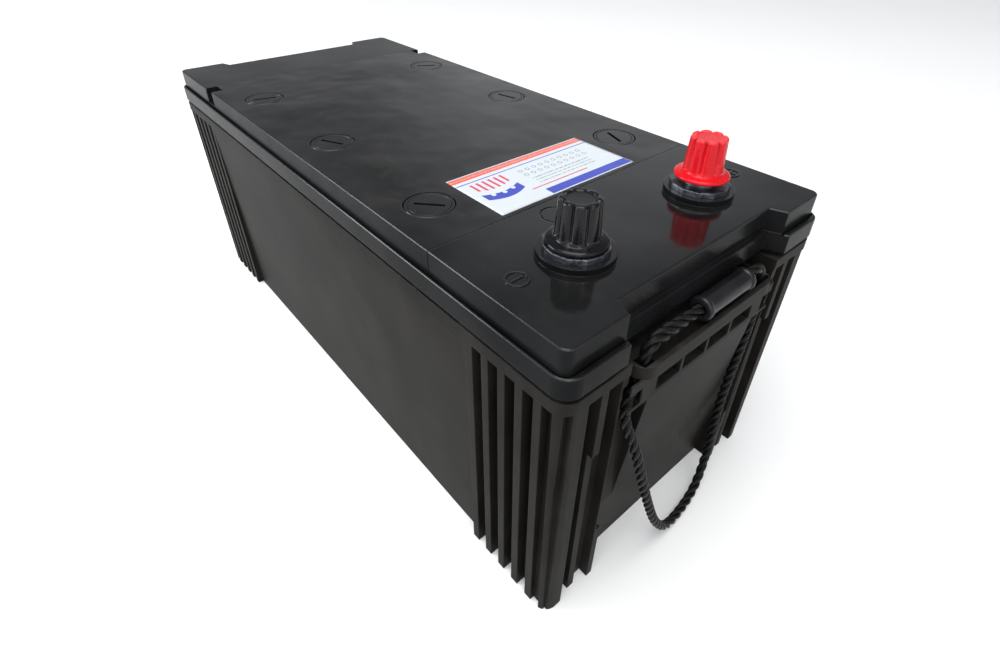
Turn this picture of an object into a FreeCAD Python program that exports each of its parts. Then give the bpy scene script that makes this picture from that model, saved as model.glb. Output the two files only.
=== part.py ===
import FreeCAD, Part
import math
import os
import re
import Sketcher

# Deep cycle battery: a 12 V monobloc in a standard 508 x 222 mm footprint.
# +X runs along the length towards the terminals, +Z is up, and the origin is the
# centre of the case's base.

doc = FreeCAD.newDocument("battery")
sheet = doc.addObject("Spreadsheet::Sheet", "dims")

DIMENSIONS = (
    ("lid_length", 508.0, "lid skirt, along X"),
    ("lid_width", 222.0, "lid skirt, along Y"),
    ("lid_corner", 10.0, "skirt corner radius in plan"),
    ("deck_length", 500.0, "raised deck, along X"),
    ("deck_width", 217.0, "raised deck, along Y"),
    ("deck_corner", 5.0, "deck corner radius in plan"),
    ("deck_top", 210.0, "top of the deck"),
    ("ledge_top", 196.0, "top of the skirt"),
    ("skirt_foot", 184.0, "lower edge of the skirt"),
    ("soft_edge", 1.1, "rounding of the lid's upper edges"),
    ("ditch_width", 1.1, "groove round the foot of the deck"),
    ("ditch_depth", 1.8, "groove round the foot of the deck"),
    ("rim_top", 181.0, "top of the case's outer rim"),
    ("rim_foot", 174.0, "where the fins end under the rim"),
    ("rim_length", 507.0, "case rim, along X"),
    ("rim_width", 221.0, "case rim, along Y"),
    ("foot_length", 504.0, "case at the base, along X"),
    ("foot_width", 214.0, "case at the base, along Y"),
    ("case_corner", 9.0, "case corner radius in plan"),
    ("neck_length", 495.0, "case neck inside the skirt, along X"),
    ("neck_width", 210.0, "case neck inside the skirt, along Y"),
    ("neck_top", 193.0, "top of the case walls and partitions"),
    ("seat_gap", 0.2, "free space between neck and skirt"),
    ("floor_thickness", 4.0, "case floor"),
    ("cell_length", 152.0, "one cell, along X"),
    ("cell_width", 95.5, "one cell, along Y"),
    ("partition", 3.0, "wall between two cells"),
    ("fin_start", 190.5, "first groove on the long side, from the middle"),
    ("fin_pitch", 12.3, "groove spacing on the long side"),
    ("groove_width", 7.0, "groove on the long side"),
    ("groove_floor", 101.0, "floor of the long side's grooves, from the middle"),
    ("end_groove_floor", 246.0, "floor of the end grooves, from the middle"),
    ("side_draft_top", 170.0, "upper edge of the long side's hollow"),
    ("side_draft_depth", 5.0, "depth of the long side's hollow at the base"),
    ("panel_half", 70.5, "half the width of the end panel"),
    ("panel_face", 255.5, "end panel's face under the tray, from the middle"),
    ("panel_break", 148.0, "height where the end panel starts to slope in"),
    ("panel_foot", 240.0, "end panel's face at the base, from the middle"),
    ("recess_wall", 236.0, "back wall of the handle recess, from the middle"),
    ("recess_half", 66.0, "half the width of the handle recess"),
    ("deck_notch", 240.5, "deck cut-out above the handle, from the middle"),
    ("skirt_notch", 243.5, "skirt cut-out above the handle, from the middle"),
    ("tray_face", 258.0, "front of the handle tray, from the middle"),
    ("tray_half", 60.5, "half the length of the handle tray"),
    ("tray_foot", 166.8, "underside of the tray"),
    ("tray_floor", 171.0, "floor of the tray"),
    ("tray_lip", 174.4, "top of the tray's lip"),
    ("lip_width", 2.8, "tray lip, front to back"),
    ("tray_corner", 9.0, "tray's front corners in plan"),
    ("pocket_half", 44.5, "half the width of the row of pockets"),
    ("pocket_rib", 2.5, "rib between two pockets"),
    ("pocket_foot", 151.0, "lower edge of the pockets"),
    ("pocket_top", 160.5, "upper edge of the pockets"),
    ("pocket_depth", 14.0, "pockets, front to back"),
    ("window_inner", 56.5, "near edge of the rope window"),
    ("window_outer", 69.5, "far edge of the rope window"),
    ("chute_back", 246.3, "back of the rope chute, from the middle"),
    ("chute_front", 254.6, "front of the rope chute, from the middle"),
    ("slab_top", 150.0, "top of the slab that guides the rope"),
    ("channel_inner", 50.0, "near edge of the rope channel"),
    ("channel_foot", 50.0, "height under which the sloping panel is behind the rope channel"),
    ("bay_back", -180.0, "rear end of the vent cover"),
    ("bay_front", 154.0, "front end of the vent cover"),
    ("seam", 0.35, "gap round the vent cover"),
    ("cover_skin", 3.2, "thickness of the vent cover"),
    ("outlet_start", -178.0, "gas outlet in the cover's long edge"),
    ("outlet_length", 14.0, "gas outlet, along X"),
    ("outlet_depth", 9.5, "gas outlet, from the cover's edge"),
    ("arrestor_radius", 3.6, "porous disc behind a gas outlet"),
    ("arrestor_depth", 2.6, "porous disc behind a gas outlet"),
    ("plug_front", 115.0, "front pair of vent plugs"),
    ("plug_middle", -2.0, "middle pair of vent plugs"),
    ("plug_rear", -121.0, "rear pair of vent plugs"),
    ("plug_row", 80.0, "vent plug rows, from the middle"),
    ("plug_head", 14.9, "vent plug head radius"),
    ("plug_shank", 11.6, "vent plug shank radius"),
    ("plug_play", 0.4, "gap round the vent plug head"),
    ("head_height", 5.2, "vent plug head"),
    ("shank_foot", 186.0, "lower end of the vent plug"),
    ("slot_length", 18.0, "coin slot"),
    ("slot_width", 2.4, "coin slot"),
    ("slot_depth", 2.6, "coin slot"),
    ("seal_wire", 1.1, "seal ring section radius"),
    ("terminal_x", 202.0, "terminals, from the middle"),
    ("terminal_y", 53.0, "terminals, from the middle"),
    ("boss_radius", 20.5, "raised disc round a terminal"),
    ("boss_height", 3.4, "raised disc round a terminal"),
    ("bush_radius", 17.4, "lead bushing flange, across corners"),
    ("bush_height", 3.3, "lead bushing flange"),
    ("post_radius", 9.75, "terminal post at its base"),
    ("post_tip", 8.75, "terminal post at its tip"),
    ("post_height", 18.0, "terminal post above the bushing"),
    ("cap_flange", 16.0, "terminal cap flange radius"),
    ("cap_body", 11.4, "terminal cap radius above the flange"),
    ("cap_tip", 10.5, "terminal cap radius at the top"),
    ("cap_height", 24.2, "terminal cap"),
    ("cap_gap", 0.2, "free space under a cap that is pushed home"),
    ("cap_lift", 3.4, "how much higher the positive cap sits"),
    ("slimmer", 0.8, "how much slimmer the negative post is"),
    ("flute_radius", 2.1, "fluting of the terminal cap"),
    ("flute_depth", 0.7, "fluting of the terminal cap"),
    ("mark_ring", 6.2, "polarity mark radius"),
    ("mark_height", 0.5, "height of moulded marks"),
    ("mark_width", 1.0, "width of moulded marks"),
    ("mark_x", 200.5, "polarity marks, from the middle"),
    ("mark_y", 90.5, "polarity marks, from the middle"),
    ("groove_ring", 9.0, "round groove in the deck"),
    ("groove_x", 168.5, "round groove in the deck"),
    ("groove_y", -33.0, "round groove in the deck"),
    ("label_start", 98.4, "label, low X"),
    ("label_length", 52.6, "label, along X"),
    ("label_half", 56.5, "half the label's width"),
    ("label_thickness", 0.25, "label film"),
    ("plate_length", 144.0, "one plate, along X"),
    ("plate_foot", 8.0, "lower edge of the plates"),
    ("plate_top", 150.0, "upper edge of the plates"),
    ("positive_thickness", 3.6, "positive plate"),
    ("negative_thickness", 3.2, "negative plate"),
    ("plate_pitch", 10.4, "from one positive plate to the next"),
    ("leaf_thickness", 1.4, "separator"),
    ("leaf_top", 154.0, "upper edge of the separators"),
    ("lug_width", 16.0, "plate lug"),
    ("lug_offset", 55.0, "plate lug, from the cell's middle"),
    ("strap_foot", 163.0, "underside of the straps"),
    ("strap_thickness", 7.0, "cast strap"),
    ("strap_inner", 38.0, "strap's near edge, from the cell's middle"),
    ("strap_outer", 70.0, "strap's far edge, from the cell's middle"),
    ("strap_half", 43.2, "half the strap's length"),
    ("link_radius", 6.0, "weld between two cells"),
    ("grip_middle", 12.5, "middle of the handle sleeve, along Y"),
    ("grip_length", 44.0, "handle sleeve"),
    ("grip_radius", 6.1, "handle sleeve"),
    ("grip_rim", 6.9, "rim at each end of the sleeve"),
    ("rim_width_grip", 3.4, "length of the sleeve's rim"),
    ("grip_bore", 3.5, "bore of the sleeve"),
    ("grip_x", 251.0, "sleeve's axis, from the middle"),
    ("grip_z", 182.0, "sleeve's axis, height"),
    ("rope_radius", 3.0, "handle rope"),
    ("rope_x", 250.5, "rope hole, from the middle"),
    ("rope_y", 54.0, "rope hole, from the middle"),
    ("rope_joint", 168.6, "where the rope enters the tray's hole"),
    ("rope_slope", 163.0, "where the rope turns aside under the tray"),
    ("hole_inner", 47.0, "rope hole in the tray, near end"),
    ("hole_outer", 58.0, "rope hole in the tray, far end"),
)
ALIASES = {alias for alias, _, _ in DIMENSIONS}
for row, (alias, amount, note) in enumerate(DIMENSIONS, 1):
    sheet.set(f"A{row}", note)
    sheet.set(f"B{row}", str(amount))
    sheet.setAlias(f"B{row}", alias)
doc.recompute()

PLATES = 8          # positive plates in a cell, with one more negative plate
FACETS = 12         # flats round the lead bushing
FLUTES = 8          # flutes round a terminal cap
POCKETS = 4         # pockets under each handle tray
SIDE_GROOVES = 5    # grooves at each end of a long side
OVERRUN = 5.0       # how far a cutting shape runs past the surface it opens
BIG = 400.0         # longer than anything that is cut across the case
ENDS = ((1, "front"), (-1, "rear"))
PLUG_TURNS = (43.0, 27.0, 75.0, -20.0, 12.0, 60.0)  # how each coin slot happens to stand, degrees

# The hanging part of the handle rope, from the tray's hole at low Y, round and up again.
ROPE_ROUTE = (
    (250.5, -54.0, 163.0), (250.5, -54.0, 158.5), (250.5, -61.6, 149.5), (252.6, -62.0, 137.0),
    (257.0, -56.5, 121.0), (260.0, -51.5, 102.0), (262.0, -45.0, 80.0), (263.8, -36.5, 55.0),
    (265.2, -25.0, 27.0), (265.8, -9.0, 5.5), (264.6, 12.0, 4.5), (261.5, 31.5, 6.5),
    (257.5, 44.5, 21.5), (254.5, 50.5, 44.0), (252.6, 52.0, 67.0), (251.8, 55.0, 90.0),
    (251.4, 59.5, 113.0), (250.8, 63.4, 136.0), (250.5, 62.4, 149.5), (250.5, 54.0, 158.5),
    (250.5, 54.0, 163.0),
)

nodes = []


def formula(text):
    """The text with every alias turned into a reference to the sheet."""
    def refer(word):
        return "dims." + word.group() if word.group() in ALIASES else word.group()

    return re.sub(r"[a-z_]+", refer, str(text))


def size(text):
    """The number that a formula of the sheet stands for."""
    return float(sheet.evalExpression(formula(text)))


def bind(item, **settings):
    """Binds properties to formulas; a double underscore stands for a dot."""
    for name, text in settings.items():
        item.setExpression(name.replace("__", "."), formula(text))


def place(item, x, y, z):
    bind(item, Placement__Base__x=x, Placement__Base__y=y, Placement__Base__z=z)
    return item


def box(name, spans):
    """A box from three (low, high) pairs of formulas."""
    item = doc.addObject("Part::Box", name)
    (x0, x1), (y0, y1), (z0, z1) = spans
    bind(item, Length=f"({x1}) - ({x0})", Width=f"({y1}) - ({y0})", Height=f"({z1}) - ({z0})")
    return place(item, x0, y0, z0)


def flip(span, side):
    """A span mirrored to the other side of the middle when side is -1."""
    low, high = span
    return (low, high) if side > 0 else (f"-({high})", f"-({low})")


def cylinder(name, radius, height, x, y, z):
    item = doc.addObject("Part::Cylinder", name)
    bind(item, Radius=radius, Height=height)
    return place(item, x, y, z)


def fuse(name, items):
    item = doc.addObject("Part::MultiFuse", name)
    item.Shapes = items
    return item


def cut(name, base, tools):
    item = doc.addObject("Part::Cut", name)
    item.Base = base
    item.Tool = tools[0] if len(tools) == 1 else fuse(name + "_tools", tools)
    return item


def soften(name, base, chosen, radius):
    """Rounds the edges that chosen() picks."""
    doc.recompute()
    item = doc.addObject("Part::Fillet", name)
    item.Base = base
    reach = size(radius)
    item.Edges = [(i, reach, reach) for i, edge in enumerate(base.Shape.Edges, 1) if chosen(edge)]
    return item


def origin_plane(body, role):
    return next(plane for plane in body.Origin.OriginFeatures if plane.Role == role)


def new_body(name):
    return doc.addObject("PartDesign::Body", name)


def outline(body, name, role, points, level="0", across="0"):
    """A closed polygon whose corners are formulas, on one of the body's origin planes."""
    sketch = body.newObject("Sketcher::SketchObject", name)
    sketch.AttachmentSupport = (origin_plane(body, role), "")
    sketch.MapMode = "FlatFace"
    bind(sketch, AttachmentOffset__Base__z=level, AttachmentOffset__Base__x=across)
    corners = [FreeCAD.Vector(size(x), size(y), 0) for x, y in points]
    for start, end in zip(corners, corners[1:] + corners[:1]):
        sketch.addGeometry(Part.LineSegment(start, end), False)
    count = len(points)
    for i in range(count):
        sketch.addConstraint(Sketcher.Constraint("Coincident", i, 2, (i + 1) % count, 1))
    for i, point in enumerate(points):
        for kind, axis, text in (("DistanceX", -2, point[0]), ("DistanceY", -1, point[1])):
            if size(text) == 0.0:
                sketch.addConstraint(Sketcher.Constraint("PointOnObject", i, 1, axis))
                continue
            index = sketch.addConstraint(Sketcher.Constraint(kind, -1, 1, i, 1, size(text)))
            sketch.setExpression(f"Constraints[{index}]", formula(text))
    sketch.Visibility = False
    return sketch


def rectangle(length, width):
    """Corners of a rectangle round the origin."""
    across, along = f"({length}) / 2", f"({width}) / 2"
    return [(f"-{across}", f"-{along}"), (across, f"-{along}"), (across, along), (f"-{across}", along)]


def pad(body, sketch, length, reverse=False):
    item = body.newObject("PartDesign::Pad", sketch.Name + "_pad")
    item.Profile = sketch
    item.Reversed = reverse
    bind(item, Length=length)
    return item


def pocket(body, sketch, length, reverse=False):
    """Cuts along the sketch's normal, and makes sure that something was cut away."""
    doc.recompute()
    before = body.Shape.Volume
    item = body.newObject("PartDesign::Pocket", sketch.Name + "_pocket")
    item.Profile = sketch
    item.Reversed = reverse
    bind(item, Length=length)
    doc.recompute()
    if body.Shape.Volume >= before - 1e-3:
        raise RuntimeError(item.Name + " cuts nothing")
    return item


def spin(body, sketch):
    """Turns a profile drawn on the XZ plane once round the vertical axis."""
    item = body.newObject("PartDesign::Revolution", sketch.Name + "_turned")
    item.Profile = sketch
    item.ReferenceAxis = (sketch, ["V_Axis"])
    item.Angle = 360.0
    return item


def round_edges(body, base, chosen, radius):
    """A PartDesign fillet on the edges of base that chosen() picks."""
    doc.recompute()
    item = body.newObject("PartDesign::Fillet", base.Name + "_round")
    item.Base = (base, [f"Edge{i}" for i, edge in enumerate(base.Shape.Edges, 1) if chosen(edge)])
    bind(item, Radius=radius)
    doc.recompute()
    return item


def upright(edge):
    """Whether an edge runs mostly up and down."""
    first, last = edge.Vertexes[0].Point, edge.Vertexes[-1].Point
    rise = last - first
    return len(edge.Vertexes) > 1 and abs(rise.z) > 0.9 * rise.Length


def node(item, label):
    """Marks an object as a finished piece."""
    item.Label = label
    nodes.append(item)
    return item


def prism(name, corners, level, height):
    """An upright prism on a polygon of formulas."""
    body = new_body(name)
    pad(body, outline(body, name + "_plan", "XY_Plane", corners, level), height)
    return body


def block_with_round_corners(body, name, length, width, corner, level, height):
    """Pads a rounded rectangle upwards from a level; returns the body's last feature."""
    sketch = outline(body, name, "XY_Plane", rectangle(length, width), level)
    base = pad(body, sketch, height)
    foot, top = size(level), size(f"({level}) + ({height})")
    return round_edges(body, base, lambda edge: upright(edge) and spans_levels(edge, foot, top), corner)


def spans_levels(edge, foot, top):
    heights = [vertex.Point.z for vertex in edge.Vertexes]
    return abs(min(heights) - foot) < 1e-3 and abs(max(heights) - top) < 1e-3


# ---------------------------------------------------------------- case

def make_case():
    shell = new_body("case_shell")
    foot = outline(shell, "case_foot", "XY_Plane", rectangle("foot_length", "foot_width"))
    shoulder = outline(shell, "case_shoulder", "XY_Plane", rectangle("rim_length - 1", "rim_width - 1"),
                       "rim_foot")
    loft = shell.newObject("PartDesign::AdditiveLoft", "case_loft")
    loft.Profile = foot
    loft.Sections = [shoulder]
    loft.Ruled = True
    round_edges(shell, loft, upright, "case_corner")
    rim = new_body("case_top")
    block_with_round_corners(rim, "case_rim", "rim_length", "rim_width", "case_corner", "rim_foot",
                             "rim_top - rim_foot")
    pad(rim, outline(rim, "case_neck", "XY_Plane", rectangle("neck_length", "neck_width"), "rim_top"),
        "neck_top - rim_top")

    added = []
    removed = []
    for end, where in ENDS:
        added += end_panel(end, where)
        removed += end_openings(end, where)
        for side in (1, -1):
            corner_name = f"{where}_{'left' if side > 0 else 'right'}"
            removed += grooves(end, side, corner_name)
    for side in (1, -1):
        removed.append(side_hollow(side))
    removed += cell_spaces()
    removed += weld_holes()
    cleared = cut("case_cleared", fuse("case_outside", [shell, rim]),
                  [end_clearance(end, where) for end, where in ENDS])
    solid = fuse("case_block", [cleared] + added)
    return node(cut("case", solid, removed), "case")


def end_clearance(end, where):
    """The space in front of the sloping end panel, and above the tray through the rim and the neck."""
    slope = new_body(f"slope_{where}")
    far = f"panel_face + {OVERRUN}"
    face = [("panel_foot", "0"), (far, "0"), (far, "panel_break"), ("panel_face", "panel_break")]
    sketch = outline(slope, f"slope_outline_{where}", "XZ_Plane", [(f"{end} * ({x})", z) for x, z in face])
    pad(slope, sketch, "2 * recess_half").Midplane = True
    return fuse(f"recess_{where}", [
        slope,
        box(f"recess_low_{where}", (flip(("recess_wall", f"panel_face + {OVERRUN}"), end),
                                    ("-recess_half", "recess_half"), ("tray_foot", "rim_top + 1"))),
        box(f"recess_high_{where}", (flip(("recess_wall", f"panel_face + {OVERRUN}"), end),
                                     ("-panel_half", "panel_half"), ("rim_top", "neck_top + 1"))),
    ])


def end_panel(end, where):
    """The sloping end panel with its tray; the panel's outline is drawn on the XZ plane."""
    panel = new_body(f"panel_{where}")
    back = "end_groove_floor - 12"
    face = [(back, "0"), ("panel_foot", "0"), ("panel_face", "panel_break"), ("panel_face", "tray_foot"),
            (back, "tray_foot")]
    sketch = outline(panel, f"panel_outline_{where}", "XZ_Plane", [(f"{end} * ({x})", z) for x, z in face])
    pad(panel, sketch, "2 * recess_half").Midplane = True

    tray = new_body(f"tray_{where}")
    outer = size("tray_face")
    plate = outline(tray, f"tray_plate_{where}", "XY_Plane", tray_corners(end, "0"), "tray_foot")
    base = pad(tray, plate, "tray_lip - tray_foot")

    def front_corner(edge):
        return upright(edge) and abs(abs(edge.CenterOfMass.x) - outer) < 0.1

    round_edges(tray, base, front_corner, "tray_corner")
    hollow = outline(tray, f"tray_hollow_{where}", "XY_Plane", tray_corners(end, "lip_width"), "tray_lip")
    pocket(tray, hollow, "tray_lip - tray_floor")
    return [panel, tray]


def tray_corners(end, inset):
    """Plan of the tray from behind the recess wall to its front, drawn in by an inset."""
    across = f"tray_half - {inset}"
    corners = [("recess_wall - 1", f"-({across})"), (f"tray_face - {inset}", f"-({across})"),
               (f"tray_face - {inset}", across), ("recess_wall - 1", across)]
    return [(f"{end} * ({x})", y) for x, y in corners]


def end_openings(end, where):
    """Pockets, rope windows, rope chutes and the slope cut under the end's fins."""
    tools = []
    width = f"(2 * pocket_half - {POCKETS - 1} * pocket_rib) / {POCKETS}"
    for i in range(POCKETS):
        low = f"-pocket_half + {i} * (({width}) + pocket_rib)"
        tools.append(box(f"pocket_{where}_{i + 1}", (
            flip(("panel_face - pocket_depth", f"panel_face + {OVERRUN}"), end),
            (low, f"{low} + ({width})"), ("pocket_foot", "pocket_top"))))
    chute = flip(("chute_back", "chute_front"), end)
    out = flip(("chute_back", f"panel_face + {OVERRUN}"), end)
    for side in (1, -1):
        tag = f"{where}_{'left' if side > 0 else 'right'}"
        window = flip(("window_inner", "window_outer"), side)
        passage = flip(("hole_inner", "window_outer"), side)
        hole = flip(("hole_inner", "hole_outer"), side)
        slot = flip(("window_inner + 0.6", "window_outer - 0.6"), side)
        channel = flip(("channel_inner", "window_outer"), side)
        tools.append(box(f"window_{tag}", (out, window, ("slab_top", "pocket_top"))))
        tools.append(box(f"chute_{tag}", (chute, passage, ("slab_top", "tray_foot"))))
        tools.append(box(f"rope_hole_{tag}", (flip(("chute_back", "chute_front - 0.4"), end), hole,
                                              ("tray_foot - 1", "tray_lip + 1"))))
        tools.append(box(f"slab_hole_{tag}", (chute, slot, ("panel_break - 1", "slab_top + 1"))))
        tools.append(box(f"channel_{tag}", (out, channel, ("channel_foot", "panel_break"))))
    return tools


def grooves(end, side, corner_name):
    """The grooves that leave the fins standing at one corner of the case."""
    tools = []
    for i in range(SIDE_GROOVES):
        low = f"fin_start + {i} * fin_pitch"
        floor = "groove_floor" if i < SIDE_GROOVES - 1 else "groove_floor + 3"
        tools.append(box(f"side_groove_{corner_name}_{i + 1}", (
            flip((low, f"{low} + groove_width - {0.8 if i == SIDE_GROOVES - 1 else 0}"), end),
            flip((floor, "lid_width / 2 + 1"), side), ("-1", "rim_foot"))))
    spans = (("panel_half", "panel_half + 9.6"), ("panel_half + 14.6", "panel_half + 23.2"),
             ("panel_half + 33", "panel_half + 36.5"))
    for i, (low, high) in enumerate(spans):
        floor = "end_groove_floor" if i < 2 else "end_groove_floor + 2.5"
        tools.append(box(f"end_groove_{corner_name}_{i + 1}", (
            flip((floor, "lid_length / 2 + 1"), end), flip((low, high), side), ("-1", "rim_foot"))))
    tools.append(box(f"fin_step_{corner_name}", (
        flip(("lid_length / 2 - 4.5", "lid_length / 2 + 1"), end),
        flip(("panel_half + 8", "panel_half + 16"), side), ("-1", "rim_foot * 0.74"))))
    return tools


def side_hollow(side):
    """The long wall between the fins leans in towards the base."""
    body = new_body(f"side_hollow_{'left' if side > 0 else 'right'}")
    face = [("foot_width / 2 - side_draft_depth", "-1"), ("lid_width / 2 + 1", "-1"),
            ("lid_width / 2 + 1", "side_draft_top"), ("rim_width / 2 - 0.6", "side_draft_top")]
    sketch = outline(body, f"side_slope_{'left' if side > 0 else 'right'}", "YZ_Plane",
                     [(f"{side} * ({y})", z) for y, z in face])
    slab = pad(body, sketch, "2 * (fin_start - 5.5)")
    slab.Midplane = True
    return body


def cell_centres():
    """Cell centres in the order in which the cells are connected, with +1 or -1 for the row."""
    step = "(cell_length + partition)"
    row = "(cell_width + partition) / 2"
    return [(f"{i} * {step}", f"{side} * {row}", side)
            for i, side in ((1, 1), (0, 1), (-1, 1), (-1, -1), (0, -1), (1, -1))]


def cell_spaces():
    tools = []
    for i, (x, y, _) in enumerate(cell_centres(), 1):
        tools.append(box(f"cell_space_{i}", ((f"{x} - cell_length / 2", f"{x} + cell_length / 2"),
                                             (f"{y} - cell_width / 2", f"{y} + cell_width / 2"),
                                             ("floor_thickness", "neck_top + 1"))))
    return tools


# ---------------------------------------------------------------- welds between cells

LINK_HEIGHT = "strap_foot + strap_thickness / 2"
LINK_LENGTH = "cell_length - 2 * strap_outer + partition"


def link(name, index, radius):
    """A round bar through the partition between cell index and the next one."""
    cells = cell_centres()
    x, y, side = cells[index]
    if index == 2:
        length = "cell_width - 2 * strap_half + partition"
        item = cylinder(name, radius, length, f"{x} - lug_offset", f"({length}) / 2", LINK_HEIGHT)
        item.Placement.Rotation = FreeCAD.Rotation(FreeCAD.Vector(1, 0, 0), 90)
        return item
    middle = f"(({x}) + ({cells[index + 1][0]})) / 2"
    item = cylinder(name, radius, LINK_LENGTH, f"{middle} - ({LINK_LENGTH}) / 2", y, LINK_HEIGHT)
    item.Placement.Rotation = FreeCAD.Rotation(FreeCAD.Vector(0, 1, 0), 90)
    return item


def weld_holes():
    return [link(f"weld_hole_{i + 1}", i, "link_radius") for i in range(5)]


# ---------------------------------------------------------------- cells

def plate_group(name, x, y, side, positive, count, thickness, first):
    """Plates side by side along Y, cast into one strap; positive lugs stand at the row's own +X side."""
    body = new_body(name)
    lean = side if positive else -side
    strap = [(f"{x} + {lean} * strap_inner", "strap_foot"), (f"{x} + {lean} * strap_outer", "strap_foot"),
             (f"{x} + {lean} * strap_outer", "strap_foot + strap_thickness"),
             (f"{x} + {lean} * strap_inner", "strap_foot + strap_thickness")]
    pad(body, outline(body, name + "_strap", "XZ_Plane", strap, f"-({y}) - strap_half"), "2 * strap_half")
    lug_low = f"{x} + {lean} * lug_offset - lug_width / 2"
    lug_high = f"{x} + {lean} * lug_offset + lug_width / 2"
    edge = "plate_length / 2"
    plate = [(f"{x} - {edge}", "plate_foot"), (f"{x} + {edge}", "plate_foot"), (f"{x} + {edge}", "plate_top"),
             (lug_high, "plate_top"), (lug_high, "strap_foot"), (lug_low, "strap_foot"),
             (lug_low, "plate_top"), (f"{x} - {edge}", "plate_top")]
    level = f"-({y}) - ({first}) - ({thickness}) / 2"
    one = pad(body, outline(body, name + "_plate", "XZ_Plane", plate, level), thickness)
    row = body.newObject("PartDesign::LinearPattern", name + "_row")
    row.Originals = [one]
    row.Direction = (origin_plane(body, "XZ_Plane"), [""])
    row.Reversed = True
    row.Occurrences = count
    bind(row, Length=f"{count - 1} * plate_pitch")
    body.Tip = row
    return node(body, name)


def separators(name, x, y):
    """Thin leaves between neighbouring plates."""
    leaves = []
    for i in range(2 * PLATES):
        middle = f"{y} + ({i} - {PLATES - 0.5}) * plate_pitch / 2"
        leaves.append(box(f"{name}_leaf_{i + 1}", (
            (f"{x} - plate_length / 2 - 1", f"{x} + plate_length / 2 + 1"),
            (f"{middle} - leaf_thickness / 2", f"{middle} + leaf_thickness / 2"),
            ("plate_foot", "leaf_top"))))
    group = doc.addObject("Part::Compound", name)
    group.Links = leaves
    return node(group, name)


def make_cells():
    for i, (x, y, side) in enumerate(cell_centres(), 1):
        plate_group(f"positive_plates_{i}", x, y, side, True, PLATES, "positive_thickness",
                    f"-{PLATES - 1} / 2 * plate_pitch")
        plate_group(f"negative_plates_{i}", x, y, side, False, PLATES + 1, "negative_thickness",
                    f"-{PLATES} / 2 * plate_pitch")
        separators(f"separators_{i}", x, y)
    for i in range(5):
        node(link(f"cell_link_{i + 1}", i, "link_radius"), f"cell_link_{i + 1}")


# ---------------------------------------------------------------- lid

def plug_places():
    """Vent plug centres, front to rear, first the row at low Y."""
    return [(x, f"{side} * plug_row") for side in (-1, 1) for x in ("plug_front", "plug_middle", "plug_rear")]


def notch_outline(floor, end):
    """Plan of the cut-out above a handle, a little wider at its mouth."""
    mouth = f"lid_length / 2 + {OVERRUN}"
    corners = [(floor, "-recess_half"), (mouth, "-recess_half - 7"), (mouth, "recess_half + 7"),
               (floor, "recess_half")]
    return [(f"{end} * ({x})", y) for x, y in corners]


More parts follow.
